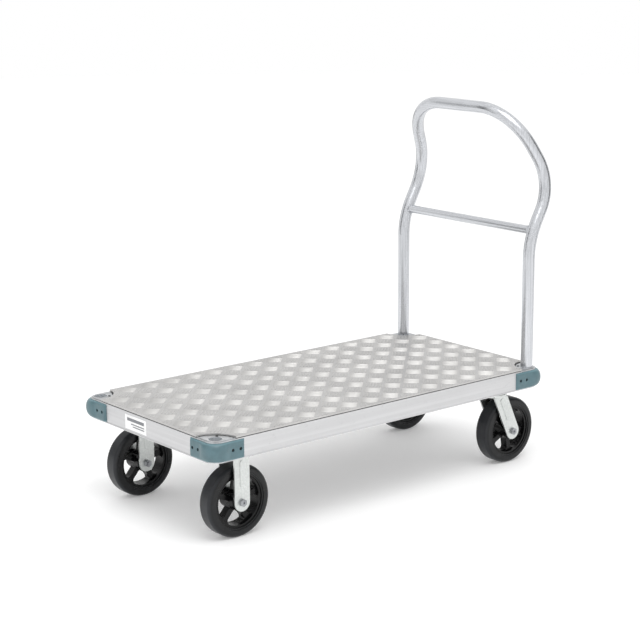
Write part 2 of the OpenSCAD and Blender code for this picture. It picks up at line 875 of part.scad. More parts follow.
swivel_axle_bolt(RIGHT);  // swivel_axle_bolt_right
swivel_axle_nut(LEFT);  // swivel_axle_nut_left
swivel_axle_nut(RIGHT);  // swivel_axle_nut_right
swivel_bushing(LEFT);  // swivel_bushing_left
swivel_bushing(RIGHT);  // swivel_bushing_right
tyre(FRONT, LEFT);  // tyre_front_left
tyre(FRONT, RIGHT);  // tyre_front_right
tyre(REAR, LEFT);  // tyre_rear_left
tyre(REAR, RIGHT);  // tyre_rear_right
wheel_core(FRONT, LEFT);  // wheel_core_front_left
wheel_core(FRONT, RIGHT);  // wheel_core_front_right
wheel_core(REAR, LEFT);  // wheel_core_rear_left
wheel_core(REAR, RIGHT);  // wheel_core_rear_right
wheel_bearing(FRONT, LEFT);  // wheel_bearing_front_left
wheel_bearing(FRONT, RIGHT);  // wheel_bearing_front_right
wheel_bearing(REAR, LEFT);  // wheel_bearing_rear_left
wheel_bearing(REAR, RIGHT);  // wheel_bearing_rear_right
handle_tube();
handle_crossbar();
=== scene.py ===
"""A platform cart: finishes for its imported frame, tread bars, welds, screw heads and a studio."""

import math

import bmesh
import bpy
from mathutils import Matrix, Vector


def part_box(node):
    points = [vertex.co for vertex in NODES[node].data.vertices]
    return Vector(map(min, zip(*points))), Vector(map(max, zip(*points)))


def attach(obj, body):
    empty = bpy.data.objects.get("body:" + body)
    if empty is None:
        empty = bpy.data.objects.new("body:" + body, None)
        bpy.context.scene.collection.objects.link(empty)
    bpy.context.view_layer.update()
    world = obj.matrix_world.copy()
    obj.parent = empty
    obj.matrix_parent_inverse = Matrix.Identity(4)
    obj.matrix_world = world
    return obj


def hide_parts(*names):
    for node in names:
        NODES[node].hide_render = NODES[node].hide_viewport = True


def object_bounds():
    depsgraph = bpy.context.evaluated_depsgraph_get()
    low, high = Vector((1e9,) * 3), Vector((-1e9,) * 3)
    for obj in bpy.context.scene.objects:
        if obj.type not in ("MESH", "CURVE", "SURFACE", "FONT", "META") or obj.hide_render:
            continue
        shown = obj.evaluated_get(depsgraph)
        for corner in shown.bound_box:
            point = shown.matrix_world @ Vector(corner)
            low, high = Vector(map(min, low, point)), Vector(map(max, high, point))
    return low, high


bl_info = {
    "name": "Platform cart",
    "version": (1, 0, 0),
    "blender": (4, 5, 0),
    "location": "View3D > Sidebar > Cart",
    "description": "Finishes and fine detail for a tread-plate platform cart",
    "category": "Object",
}

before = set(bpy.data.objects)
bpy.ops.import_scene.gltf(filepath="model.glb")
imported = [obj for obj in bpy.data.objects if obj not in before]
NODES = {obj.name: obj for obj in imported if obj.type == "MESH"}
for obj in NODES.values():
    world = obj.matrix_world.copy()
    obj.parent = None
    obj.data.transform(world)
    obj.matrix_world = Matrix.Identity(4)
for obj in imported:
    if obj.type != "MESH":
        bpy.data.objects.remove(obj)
CAD_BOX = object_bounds()
MM = 0.001
CENTRE = (CAD_BOX[0] + CAD_BOX[1]) / 2
WHITE = (1.0, 1.0, 1.0, 1.0)
RING_RATE = 2600  # Radians a metre of the turned rings in a tyre's wall
ENDS = ("front", "rear")
SIDES = ("left", "right")
CORNERS = [f"{end}_{side}" for end in ENDS for side in SIDES]


# ---- Sizes and colours ----


def length(name, description, default, low=0.0):
    """A length property in metres."""
    return bpy.props.FloatProperty(
        name=name, description=description, default=default, min=low, unit="LENGTH", precision=5
    )


def colour(name, description, default):
    """A colour property. The default is given as it shows on a screen, from 0 to 255."""
    return bpy.props.FloatVectorProperty(
        name=name, description=description, default=[linear(v) for v in default],
        subtype="COLOR", size=3, min=0, max=1,
    )


def linear(value):
    """A screen value from 0 to 255 as a linear one from 0 to 1."""
    v = value / 255
    return v / 12.92 if v <= 0.04045 else ((v + 0.055) / 1.055) ** 2.4


class CartTread(bpy.types.PropertyGroup):
    """The raised bars on the deck plate."""

    pitch: length("Cell pitch", "Distance between neighbouring cells of bars", 54 * MM)
    bar_length: length("Bar length", "Length of one raised bar", 47 * MM)
    bar_width: length("Bar width", "Width of one raised bar at its foot", 6 * MM)
    bar_height: length("Bar height", "How far a bar stands up from the plate", 1.4 * MM)
    bar_pitch: length("Bar pitch", "Distance between the bars of a cell", 9.8 * MM)
    margin: length("Margin", "Plain strip between the bars and the plate's edge", 1.5 * MM)
    shortest: length("Shortest bar", "A bar cut shorter than this is left out", 9 * MM)
    bars: bpy.props.IntProperty(
        name="Bars", description="Number of bars in a cell", default=5, min=1, max=9
    )


class CartDetails(bpy.types.PropertyGroup):
    """Welds, screw heads and the label's lines."""

    bead: length("Weld bead", "Radius of a weld bead", 2.6 * MM)
    ripple: length("Weld ripple", "Distance between a weld's ripples", 2.4 * MM)
    seam: length("Weld seam", "Length of a seam up a channel's flange", 4 * MM)
    tube_radius: length("Leg radius", "Outer radius of the handle's tube", 18 * MM)
    screw_dome: length("Screw dome", "Height of a bumper screw's domed head", 2.2 * MM)
    screw_slot: length("Screw slot", "Width of the cross in a screw's head", 1.1 * MM)
    print_proud: length("Print", "How far the label's blank bars stand proud", 0.08 * MM)


class CartBumpers(bpy.types.PropertyGroup):
    """The moulded bumpers round the corners."""

    leg: length("Leg", "Length of a bumper along each face", 100 * MM)
    thick: length("Thickness", "How far an arm stands out from the frame", 6.5 * MM)
    corner_round: length("Corner radius", "Radius of the frame's corner", 32 * MM)
    swell: length("Swell", "How far the dome stands out past the arms", 11 * MM)
    dome_run: length("Dome run", "Distance over which the dome sinks into an arm", 24 * MM)
    head: length("Head depth", "Depth of a screw head within its recess", 2.1 * MM)
    recess: length("Recess", "Radius of a screw's recess", 4.6 * MM)


class CartWheels(bpy.types.PropertyGroup):
    """The cast cores of the wheels."""

    rim: length("Rim", "Inner radius of the core's rim", 68 * MM)
    hub: length("Hub", "Radius of the hub", 27 * MM)
    spoke: length("Spoke", "Width of a spoke", 15 * MM)
    depth: length("Depth", "Depth of a spoke along the axle", 24 * MM)
    rim_fillet: length("Rim fillet", "Radius between a spoke and the rim", 11 * MM)
    hub_fillet: length("Hub fillet", "Radius between a spoke and the hub", 7 * MM)
    spokes: bpy.props.IntProperty(
        name="Spokes", description="Number of spokes in a core", default=5, min=3
    )
    front_turn: bpy.props.FloatProperty(
        name="Front turn", description="Angle of a front core's first spoke from straight ahead",
        default=math.radians(13), subtype="ANGLE",
    )
    rear_turn: bpy.props.FloatProperty(
        name="Rear turn", description="Angle of a rear core's first spoke from straight ahead",
        default=math.radians(-10), subtype="ANGLE",
    )


class CartColours(bpy.types.PropertyGroup):
    """Colours of the cart's finishes."""

    plate: colour("Tread plate", "Mill-finish tread plate", (196, 195, 194))
    # The bars' colour is lighter than the plate's: partly their polish, partly a painted highlight
    # for the glint on them.
    bars: colour("Tread bars", "Polished tops of the tread bars", (202, 201, 199))
    channel: colour("Channel", "Satin aluminium channel", (205, 205, 206))
    casting: colour("Casting", "Cast aluminium corner", (196, 198, 200))
    tube: colour("Tube", "Satin aluminium tube", (205, 207, 211))
    zinc: colour("Zinc", "Bright zinc plate", (208, 211, 209))
    steel: colour("Steel", "Turned and plated steel", (158, 160, 163))
    screw: colour("Screws", "Dark plated screws", (62, 64, 66))
    bumper: colour("Bumper", "Blue-green moulded plastic", (84, 112, 119))
    rubber: colour("Rubber", "Moulded black rubber", (15, 16, 18))
    iron: colour("Iron", "Black painted casting", (8, 8, 9))
    film: colour("Label", "White label film", (244, 244, 244))
    ink: colour("Label bars", "Grey bars on the label", (120, 122, 126))


class CartStudio(bpy.types.PropertyGroup):
    """The floor, the lights and the camera."""

    floor_radius: length("Floor", "Radius of the floor", 14.0)
    floor_glow: bpy.props.FloatProperty(
        name="Floor glow", description="Light that the floor itself gives off", default=0.16, min=0
    )
    key_power: bpy.props.FloatProperty(
        name="Key light", description="Power of the light above", default=46, min=0,
        subtype="POWER", unit="POWER",
    )
    lens: length("Lens", "Focal length of the camera", 97.18 * MM)
    roll: bpy.props.FloatProperty(
        name="Roll", description="Turn of the camera about its own line of sight",
        default=math.radians(-0.307), subtype="ANGLE",
    )
    eye: bpy.props.FloatVectorProperty(
        name="Camera", description="Place of the camera",
        default=(-3.1417, -3.7974, 1.6160), subtype="TRANSLATION", unit="LENGTH",
    )
    back: bpy.props.FloatVectorProperty(
        name="Backwards", description="Direction from what the camera looks at towards it",
        default=(-0.61830, -0.75315, 0.22466), subtype="DIRECTION",
    )
    sky: bpy.props.FloatProperty(
        name="Sky", description="Strength of the even white light from all round",
        default=1.0, min=0,
    )


# ---- Shader helpers ----


class Sock:
    """A shader socket. Maths on it adds Math nodes, so that a formula reads as one."""

    def __init__(self, finish, socket):
        self.finish, self.socket = finish, socket

    def _maths(self, operation, a, b=0.0):
        return self.finish.node("ShaderNodeMath", {"operation": operation}, {0: a, 1: b})

    def __add__(self, other):
        return self._maths("ADD", self, other)

    __radd__ = __add__

    def __mul__(self, other):
        return self._maths("MULTIPLY", self, other)

    __rmul__ = __mul__

    def __sub__(self, other):
        return self._maths("SUBTRACT", self, other)

    def __rsub__(self, other):
        return self._maths("SUBTRACT", other, self)

    def __pow__(self, power):
        return self._maths("POWER", self, power)

    def __abs__(self):
        return self._maths("ABSOLUTE", self)

    def smaller(self, other):
        """The smaller of two values at each point."""
        return self._maths("MINIMUM", self, other)

    def rise(self, low, high):
        """0 below low, 1 above high and smooth in between."""
        settings = {"interpolation_type": "SMOOTHSTEP"}
        inputs = {0: self, 1: low, 2: high, 3: 0.0, 4: 1.0}
        return self.finish.node("ShaderNodeMapRange", settings, inputs)


class Finish:
    """One material, with the object's own coordinates in metres at hand."""

    def __init__(self, name, **fixed):
        self.material = bpy.data.materials.new(name)
        self.material.use_nodes = True
        self.tree = self.material.node_tree
        self.shader = self.tree.nodes["Principled BSDF"]
        for socket, value in fixed.items():
            self.shader.inputs[socket_name(socket)].default_value = value
        self.place = self.node("ShaderNodeTexCoord", output="Object")

    def node(self, kind, settings=None, inputs=None, output=0):
        """Adds a node with its settings, then its sockets' values or links."""
        made = self.tree.nodes.new(kind)
        for name, value in (settings or {}).items():
            setattr(made, name, value)
        for name, value in (inputs or {}).items():
            if isinstance(value, Sock):
                self.tree.links.new(value.socket, made.inputs[name])
            else:
                made.inputs[name].default_value = value
        return Sock(self, made.outputs[output])

    def axes(self):
        """X, Y and Z of the point being shaded."""
        parts = self.node("ShaderNodeSeparateXYZ", None, {0: self.place})
        outputs = parts.socket.node.outputs
        return [Sock(self, outputs[i]) for i in range(3)]

    def stretched(self, scale):
        """The coordinates, scaled along each axis, so that grain can run one way."""
        return self.node(
            "ShaderNodeMapping", {"vector_type": "POINT"}, {"Vector": self.place, "Scale": scale}
        )

    def noise(self, scale, detail=3.0, where=None, roughness=0.55):
        """Cloudy noise from 0 to 1, with a scale in cycles to a metre."""
        inputs = {
            "Vector": where or self.place, "Scale": scale, "Detail": detail,
            "Roughness": roughness,
        }
        return self.node("ShaderNodeTexNoise", None, inputs, "Fac")

    def cells(self, scale):
        """Distance to the nearest of scattered points, with a scale in cells to a metre."""
        inputs = {"Vector": self.place, "Scale": scale}
        return self.node("ShaderNodeTexVoronoi", None, inputs, "Distance")

    def blend(self, factor, first, second):
        """First colour where factor is 0, second where it is 1."""
        node = self.tree.nodes.new("ShaderNodeMix")
        node.data_type = "RGBA"
        node.clamp_factor = True
        for index, value in ((0, factor), (6, first), (7, second)):
            if isinstance(value, Sock):
                self.tree.links.new(value.socket, node.inputs[index])
            else:
                node.inputs[index].default_value = value
        return Sock(self, node.outputs[2])

    def bump(self, height, depth, strength):
        """A normal from a height from 0 to 1, where 1 is depth metres high."""
        inputs = {"Height": height, "Distance": depth, "Strength": strength}
        return self.node("ShaderNodeBump", None, inputs)

    def feed(self, **links):
        """Links or sets the shader's sockets, such as base_color or roughness."""
        for name, value in links.items():
            socket = self.shader.inputs[socket_name(name)]
            if isinstance(value, Sock):
                self.tree.links.new(value.socket, socket)
            else:
                socket.default_value = value
        return self.material


def socket_name(name):
    """A shader socket's own name, such as Specular IOR Level for specular_ior_level."""
    return name.replace("_", " ").title().replace("Ior", "IOR")


def paint(material, *nodes):
    """Gives CAD nodes a finish in place of the one they were packed with."""
    for name in nodes:
        mesh = NODES[name].data
        mesh.materials.clear()
        mesh.materials.append(material)


def shade(rgb, factor=1.0):
    """A colour, made lighter or darker, with its alpha."""
    return (*[min(1.0, v * factor) for v in rgb], 1.0)


# ---- Mesh helpers ----


def add_piece(name, made, body, material, smooth=True):
    """Turns a bmesh into an object that rides on a body."""
    mesh = bpy.data.meshes.new(name)
    bmesh.ops.recalc_face_normals(made, faces=made.faces)
    for face in made.faces:
        face.smooth = smooth
    made.to_mesh(mesh)
    made.free()
    mesh.set_sharp_from_angle(angle=math.radians(40))
    mesh.materials.append(material)
    piece = bpy.data.objects.new(name, mesh)
    bpy.context.scene.collection.objects.link(piece)
    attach(piece, body)
    return piece


def add_loft(made, rings, closed=False):
    """Joins rings of points into one closed skin: capped at both ends, or joined end to end."""
    rows = [[made.verts.new(p) for p in ring] for ring in rings]
    around = len(rows[0])
    pairs = list(zip(rows, rows[1:])) + ([(rows[-1], rows[0])] if closed else [])
    for low, high in pairs:
        for i in range(around):
            j = (i + 1) % around
            made.faces.new((low[i], low[j], high[j], high[i]))
    if not closed:
        made.faces.new(rows[0])
        made.faces.new(rows[-1])


def middle(node):
    """The middle of a CAD node's box."""
    low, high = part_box(node)
    return (low + high) / 2


# ---- Pieces ----


def inside_plate(x, y, half_l, half_w, corner):
    """Whether a point of the deck plate, from its middle, is on metal."""
    beside, ahead = half_w - abs(y), half_l - abs(x)
    return beside > 0 and ahead > 0 and math.hypot(beside, ahead) > corner


def add_bar(made, start, end, width, height):
    """A raised bar from start to end: a lens-shaped foot that rises to a rounded crest."""
    along = (end - start).normalized()
    across = Vector((-along.y, along.x, 0))
    reach = (end - start).length
    steps = 6
    half = []
    for i in range(steps + 1):
        t = i / steps
        half.append((t * reach, width / 2 * (1 - abs(2 * t - 1) ** 2.6)))
    outline = half + [(x, -w) for x, w in reversed(half[1:-1])]
    rings = []
    for share, lift in ((1.0, 0.0), (0.86, 0.62), (0.52, 0.95)):
        ring = []
        for x, w in outline:
            drawn_in = reach / 2 + (x - reach / 2) * (1 - (1 - share) * width / reach)
            place = start + along * drawn_in + across * (w * share)
            ring.append(place + Vector((0, 0, height * lift)))
        rings.append(ring)
    add_loft(made, rings)


class CART_OT_tread(bpy.types.Operator):
    """Adds the five-bar tread over the deck plate"""

    bl_idname = "cart.tread"
    bl_label = "Tread bars"

    def execute(self, context):
        size = context.scene.cart_tread
        low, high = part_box("deck_plate")
        rail_low, rail_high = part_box("side_rail_left")
        centre = (low + high) / 2
        half_l = (high.x - low.x) / 2 - size.margin
        half_w = (high.y - low.y) / 2 - size.margin
        corner = ((high.x - low.x) - (rail_high.x - rail_low.x)) / 2
        foot = high.z - 0.05 * MM
        diagonal = [Vector((1, 1, 0)).normalized(), Vector((1, -1, 0)).normalized()]
        reach = int((half_l + half_w) / size.pitch) + 1
        steps = 24
        made = bmesh.new()
        for i in range(-reach, reach + 1):
            for j in range(-reach, reach + 1):
                cell = (diagonal[0] * i + diagonal[1] * j) * size.pitch
                along, across = diagonal[(i + j) % 2], diagonal[(i + j + 1) % 2]
                for k in range(size.bars):
                    offset = (k - (size.bars - 1) / 2) * size.bar_pitch
                    line = [
                        cell + across * offset + along * (size.bar_length * (s / steps - 0.5))
                        for s in range(steps + 1)
                    ]
                    kept = [p for p in line if inside_plate(p.x, p.y, half_l, half_w, corner)]
                    if len(kept) < 2 or (kept[-1] - kept[0]).length < size.shortest:
                        continue
                    lift = Vector((centre.x, centre.y, foot))
                    add_bar(made, kept[0] + lift, kept[-1] + lift, size.bar_width, size.bar_height)
        colours = context.scene.cart_colours
        # The bars' lighter colour is partly polish, partly a painted highlight.
        finish = tread_finish("tread_bars", colours.bars, 0.3)
        add_piece("tread_bars", made, "frame", finish)
        return {"FINISHED"}


def add_bead(made, path, radius, ripple, closed=False):
    """A weld bead along a path, with the ripples that a welder's torch leaves."""
    around = 8
    rings = []
    run = 0.0
    count = len(path)
    for i, point in enumerate(path):
        before = path[i - 1] if closed or i > 0 else point
        after = path[(i + 1) % count] if closed or i < count - 1 else point
        along = (after - before).normalized()
        aside = along.cross(Vector((0.3, 0.5, 0.8))).normalized()
        up = along.cross(aside)
        run += (point - path[i - 1]).length if i else 0.0
        swell = radius * (0.9 + 0.12 * math.sin(run / ripple * 2 * math.pi))
        if not closed and i in (0, count - 1):
            swell *= 0.5
        rings.append([
            point + (aside * math.cos(a) + up * math.sin(a)) * swell
            for a in (2 * math.pi * k / around for k in range(around))
        ])
    add_loft(made, rings, closed)


class CART_OT_welds(bpy.types.Operator):
    """Adds the weld beads round the crossbar's ends and under the deck"""

    bl_idname = "cart.welds"
    bl_label = "Welds"

    def execute(self, context):
        size = context.scene.cart_details
        material = weld_finish(context.scene.cart_colours)
        low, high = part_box("handle_crossbar")
        centre, radius = (low + high) / 2, (high.z - low.z) / 2
        tube_low, tube_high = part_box("handle_tube")
        leg_y = tube_high.y - size.tube_radius
        turns = 96
        sunk = 0.3 * size.bead
        made = bmesh.new()
        for side in (-1, 1):
            path = []
            for k in range(turns):
                angle = 2 * math.pi * k / turns
                x, z = radius * math.cos(angle), radius * math.sin(angle)
                y = leg_y - math.sqrt(size.tube_radius ** 2 - x ** 2) - sunk
                path.append(Vector((centre.x + x, side * y, centre.z + z)))
            add_bead(made, path, size.bead, size.ripple, closed=True)
        add_piece("crossbar_welds", made, "handle", material)

        made = bmesh.new()
        spacing = size.ripple / 6
        members = [f"cross_member_{n}" for n in ("front", "middle", "rear")]
        for node in members + [f"caster_bolster_{n}" for n in ENDS]:
            low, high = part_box(node)
            for y in (low.y, high.y):
                for x in (low.x, high.x):
                    seams = [high.z] if node in members else [high.z, low.z]
                    for z in seams:
                        inward = -1 if z == high.z else 1
                        steps = int(size.seam / spacing)
                        path = [
                            Vector((x, y, z + inward * size.seam * s / steps))
                            for s in range(steps + 1)
                        ]
                        add_bead(made, path, size.bead, size.ripple)
        add_piece("member_welds", made, "frame", material)
        return {"FINISHED"}


def add_cross_head(made, centre, out, radius, dome, slot):
    """A domed screw head with a sunk cross in it, facing along out."""
    aside = out.cross(Vector((0, 0, 1))).normalized()
    up = aside.cross(out).normalized()
    around = 32
    rings = []
    for share, lift in ((1.0, 0.0), (1.0, 0.35), (0.93, 0.66), (0.78, 0.88), (0.52, 1.0)):
        rings.append([
            centre + out * (dome * lift)
            + (aside * math.cos(a) + up * math.sin(a)) * (radius * share)
            for a in (2 * math.pi * k / around for k in range(around))
        ])
    rows = [[made.verts.new(p) for p in ring] for ring in rings]
    for low, high in zip(rows, rows[1:]):
        for i in range(around):
            j = (i + 1) % around
            made.faces.new((low[i], low[j], high[j], high[i]))
    made.faces.new(rows[0])
    # The cross: its outline at the crest, joined to the crest's ring, and its sunk floor
    arm, half = radius * 0.42, slot / 2
    corners = [(arm, half), (half, half), (half, arm), (-half, arm), (-half, half), (-arm, half)]
    corners += [(-x, -y) for x, y in corners]
    lip = [made.verts.new(centre + out * dome + aside * x + up * y) for x, y in corners]
    floor = [
        made.verts.new(centre + out * (dome * 0.45) + aside * (x * 0.8) + up * (y * 0.8))
        for x, y in corners
    ]
    count = len(corners)
    for i in range(count):
        j = (i + 1) % count
        made.faces.new((lip[i], lip[j], floor[j], floor[i]))
    made.faces.new(floor)
    edges = [made.edges.get((lip[i], lip[(i + 1) % count])) for i in range(count)]
    edges += [made.edges.get((rows[-1][i], rows[-1][(i + 1) % around])) for i in range(around)]
    bmesh.ops.triangle_fill(made, use_beauty=True, edges=edges)


class CART_OT_screws(bpy.types.Operator):
    """Replaces the bumper screws by domed ones with a cross in each head"""

    bl_idname = "cart.screws"
    bl_label = "Bumper screws"

    def execute(self, context):
        size = context.scene.cart_details
        made = bmesh.new()
        for low, high in loose_boxes("bumper_screws"):
            span = high - low
            thick = max(span)
            head = sorted(span)[1] / 2
            centre = (low + high) / 2
            out = Vector((0, 0, 0))
            axis = max(range(3), key=lambda i: span[i])
            out[axis] = 1 if centre[axis] > CENTRE[axis] else -1
            face = centre + out * (thick / 2)
            seat = face - out * size.screw_dome
            add_cross_head(made, seat, out, head, size.screw_dome, size.screw_slot)
        finish = screw_finish(context.scene.cart_colours)
        piece = add_piece("bumper_screw_heads", made, "frame", finish)
        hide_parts("bumper_screws")
        return {"FINISHED"}


def loose_boxes(node):
    """The box of each separate solid in a CAD node."""
    made = bmesh.new()
    made.from_mesh(NODES[node].data)
    bmesh.ops.remove_doubles(made, verts=made.verts, dist=0.001 * MM)
    left, boxes = set(made.verts), []
    while left:
        front = [left.pop()]
        group = []
        while front:
            vert = front.pop()
            group.append(vert.co.copy())
            for edge in vert.link_edges:
                other = edge.other_vert(vert)
                if other in left:
                    left.discard(other)
                    front.append(other)
        low = Vector([min(p[i] for p in group) for i in range(3)])
        high = Vector([max(p[i] for p in group) for i in range(3)])
        boxes.append((low, high))
    made.free()
    return sorted(boxes, key=lambda box: tuple(box[0]))


class CART_OT_label(bpy.types.Operator):
    """Adds plain grey bars to the blank label"""

    bl_idname = "cart.label"
    bl_label = "Label"

    def execute(self, context):
        colours = context.scene.cart_colours
        proud = context.scene.cart_details.print_proud
        paint(film_finish(colours), "label_plate")
        low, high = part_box("label_plate")
        width, height = high.y - low.y, high.z - low.z
        made = bmesh.new()
        for start, end, foot, top in (
            (0.10, 0.90, 0.60, 0.82), (0.10, 0.72, 0.38, 0.46), (0.10, 0.64, 0.22, 0.30)
        ):
            ring = [
                Vector((low.x, low.y + width * a, low.z + height * b))
                for a, b in ((start, foot), (end, foot), (end, top), (start, top))
            ]
            add_loft(made, [ring, [p - Vector((proud, 0, 0)) for p in ring]])
        add_piece("label_bars", made, "frame", ink_finish(colours), smooth=False)
        return {"FINISHED"}


# ---- Finishes ----


def tread_finish(name, base, roughness):
    """Rolled aluminium plate: faint clouds, scuffs that run both ways and a fine roll grain."""
    finish = Finish(name, metallic=0.85)
    clouds = finish.noise(9, 4)
    scuffs = finish.noise(1, 4, finish.stretched((26, 210, 40)), 0.7)
    cross_scuffs = finish.noise(1, 4, finish.stretched((190, 22, 40)), 0.7)
    grain = finish.noise(900, 2)
    worn = (scuffs.rise(0.52, 0.72) + cross_scuffs.rise(0.55, 0.74)) * 0.5
    tint = finish.blend(clouds.rise(0.3, 0.7), shade(base, 0.9), shade(base, 1.04))
    tint = finish.blend(worn * 0.35, tint, shade(base, 0.72))
    height = grain * 0.5 + scuffs * 0.3 + cross_scuffs * 0.2
    return finish.feed(
        base_color=tint,
        roughness=roughness + clouds * 0.1 + worn * 0.14,
        normal=finish.bump(height, 0.05 * MM, 0.6),
    )


def channel_finish(colours):
    """Satin extrusion: die lines that run lengthways, handling marks, dull patches, and painted
    shade, near black, along the top edge in the groove under the deck plate.
    """
    base = colours.channel
    finish = Finish("channel")
    lines = finish.noise(1, 3, finish.stretched((2.5, 2.5, 900)), 0.6)
    broad = finish.noise(1, 2, finish.stretched((1.5, 1.5, 120)), 0.5)
    marks = finish.noise(1, 5, finish.stretched((60, 60, 90)), 0.72)
    patches = finish.noise(7, 3)
    worn = marks.rise(0.58, 0.74)
    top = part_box("side_rail_left")[1].z
    # Painted shade: within 2 mm of the rails' top, in the groove under the deck plate's edge, the
    # channel is painted near black, rougher and hardly metallic, to deepen the dark seam there.
    seam_shade = finish.axes()[2].rise(top - 2.1 * MM, top - 1.9 * MM)
    tint = finish.blend(broad.rise(0.3, 0.7), shade(base, 0.95), shade(base, 1.03))
    tint = finish.blend(worn * 0.35, tint, shade(base, 0.74))
    # Painted shade in the groove under the deck plate
    tint = finish.blend(seam_shade, tint, shade(base, 0.03))
    return finish.feed(
        base_color=tint,
        roughness=0.3 + patches * 0.16 + worn * 0.12 + seam_shade * 0.4,
        metallic=0.85 - seam_shade * 0.8,
        normal=finish.bump(lines * 0.5 + marks * 0.5, 0.03 * MM, 0.4),
    )


def casting_finish(colours, tube_radius):
    """Cast aluminium: an orange-peel skin, dull hollows, and sockets bored smooth and lightened with
    painted light against the shade inside them.
    """
    base = colours.casting
    finish = Finish("casting", metallic=0.85)
    plate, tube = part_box("deck_plate"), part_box("handle_tube")
    leg_y = tube[1].y - tube_radius
    inset = plate[1].y - leg_y
    x, y, _ = finish.axes()
    from_x = abs(x - middle("deck_plate").x) - (plate[1].x - plate[0].x) / 2 + inset
    from_y = abs(y) - leg_y
    reach = (from_x * from_x + from_y * from_y) ** 0.5
    # Painted light: inside each bore the casting is painted 1.6 times brighter, to lift the shade
    # there; the lower roughness in the bore stands for its machining.
    bore_lit_and_machined = 1 - reach.rise(tube_radius + 0.5 * MM, tube_radius + 0.8 * MM)
    skin = finish.noise(420, 4)
    dull = finish.noise(30, 3)
    tint = finish.blend(dull.rise(0.35, 0.7), shade(base, 1.05), shade(base, 0.78))
    tint = finish.blend(bore_lit_and_machined, tint, shade(base, 1.6))
    return finish.feed(
        base_color=tint,
        roughness=0.3 + dull * 0.2 - bore_lit_and_machined * 0.12,
        normal=finish.bump(skin, 0.12 * MM, 0.6),
    )


def tube_finish(colours):
    """Satin drawn tube: draw lines along the legs and, at the top, along the grip."""
    base = colours.tube
    finish = Finish("handle_tube", metallic=0.9)
    height = finish.axes()[2]
    grip_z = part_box("handle_tube")[1].z
    crossbar_z = middle("handle_crossbar").z
    on_legs = finish.noise(1, 3, finish.stretched((300, 300, 4)), 0.6)
    on_bars = finish.noise(1, 3, finish.stretched((300, 4, 300)), 0.6)
    on_grip = height.rise(grip_z - 70 * MM, grip_z - 36 * MM)
    reach = 14 * MM
    beside = abs(height - crossbar_z)
    over_bar = 1 - beside.rise(reach, reach + 4 * MM)
    flat = (on_grip + over_bar).smaller(1.0)
    lines = on_legs * (1 - flat) + on_bars * flat
    patches = finish.noise(14, 3)
    tint = finish.blend(lines.rise(0.3, 0.7), shade(base, 0.82), shade(base, 1.08))
    tint = finish.blend(patches.rise(0.55, 0.75) * 0.25, tint, shade(base, 0.76))
    return finish.feed(
        base_color=tint,
        roughness=0.16 + lines * 0.12 + patches * 0.08,
        normal=finish.bump(lines, 0.04 * MM, 0.5),
    )


def weld_finish(colours):
    """Weld metal: bright beads with a grey bloom between the ripples."""
    base = colours.tube
    finish = Finish("weld", metallic=0.85)
    bloom = finish.noise(260, 4)
    tint = finish.blend(bloom.rise(0.4, 0.65), shade(base, 0.66), shade(base, 1.0))
    return finish.feed(base_color=tint, roughness=0.28 + bloom * 0.2)


def zinc_finish(colours):
    """Bright zinc plate on pressed steel: soft spangle, form lines and faint rubbing."""
    base = colours.zinc
    finish = Finish("zinc_plate", metallic=0.9)
    spangle = finish.cells(160)
    lines = finish.noise(1, 3, finish.stretched((420, 420, 12)), 0.6)
    clouds = finish.noise(24, 3)
    tint = finish.blend(spangle.rise(0.1, 0.8), shade(base, 1.03), shade(base, 0.93))
    tint = finish.blend(clouds.rise(0.5, 0.75) * 0.3, tint, shade(base, 0.8))
    return finish.feed(
        base_color=tint,
        roughness=0.2 + clouds * 0.14 + spangle * 0.08,
        normal=finish.bump(lines, 0.03 * MM, 0.6),
    )


def steel_finish(colours):
    """Turned and plated steel: fine tool marks and a slight stain."""
    base = colours.steel
    finish = Finish("plain_steel", metallic=0.95)
    marks = finish.noise(1, 3, finish.stretched((300, 900, 300)), 0.6)
    stain = finish.noise(60, 3)
    tint = finish.blend(stain.rise(0.4, 0.75), shade(base, 1.06), shade(base, 0.7))
    return finish.feed(
        base_color=tint,
        roughness=0.24 + stain * 0.16,
        normal=finish.bump(marks, 0.02 * MM, 0.5),
    )


def screw_finish(colours):
    """Dark plated screws, rubbed brighter on their crests."""
    base = colours.screw
    finish = Finish("screw_steel", metallic=0.9)
    lightened = finish.noise(500, 3)
    tint = finish.blend(lightened.rise(0.45, 0.7), shade(base, 0.8), shade(base, 1.8))
    return finish.feed(base_color=tint, roughness=0.26 + lightened * 0.2)


def bumper_finish(colours):
    """Moulded plastic: a fine grain, faint mottling, and a painted highlight that makes the top and
    bottom edges paler.
    """
    base = colours.bumper
    low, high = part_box("bumper_front_left")
    finish = Finish("bumper_plastic")
    height = finish.axes()[2]
    rim = (height - low.z).smaller(high.z - height)
    mottle = finish.noise(45, 4)
    scuffs = finish.noise(1, 5, finish.stretched((70, 70, 260)), 0.75)
    grain = finish.noise(1400, 2)
    # Painted highlight: within about 5 mm of the top and bottom edges the bumper is painted up to
    # 1.5 times paler, varied by the mottle, to stand for light caught on the rounded edges.
    lightened = (1 - rim.rise(1.5 * MM, 5 * MM)) * (0.35 + mottle * 0.5)
    tint = finish.blend(mottle.rise(0.3, 0.7), shade(base, 0.9), shade(base, 1.08))
    tint = finish.blend(lightened, tint, shade(base, 1.5))
    tint = finish.blend(scuffs.rise(0.62, 0.78) * 0.4, tint, shade(base, 1.4))
    return finish.feed(
        base_color=tint,
        roughness=0.24 + mottle * 0.16 + scuffs * 0.1,
        normal=finish.bump(grain, 0.04 * MM, 0.5),
    )


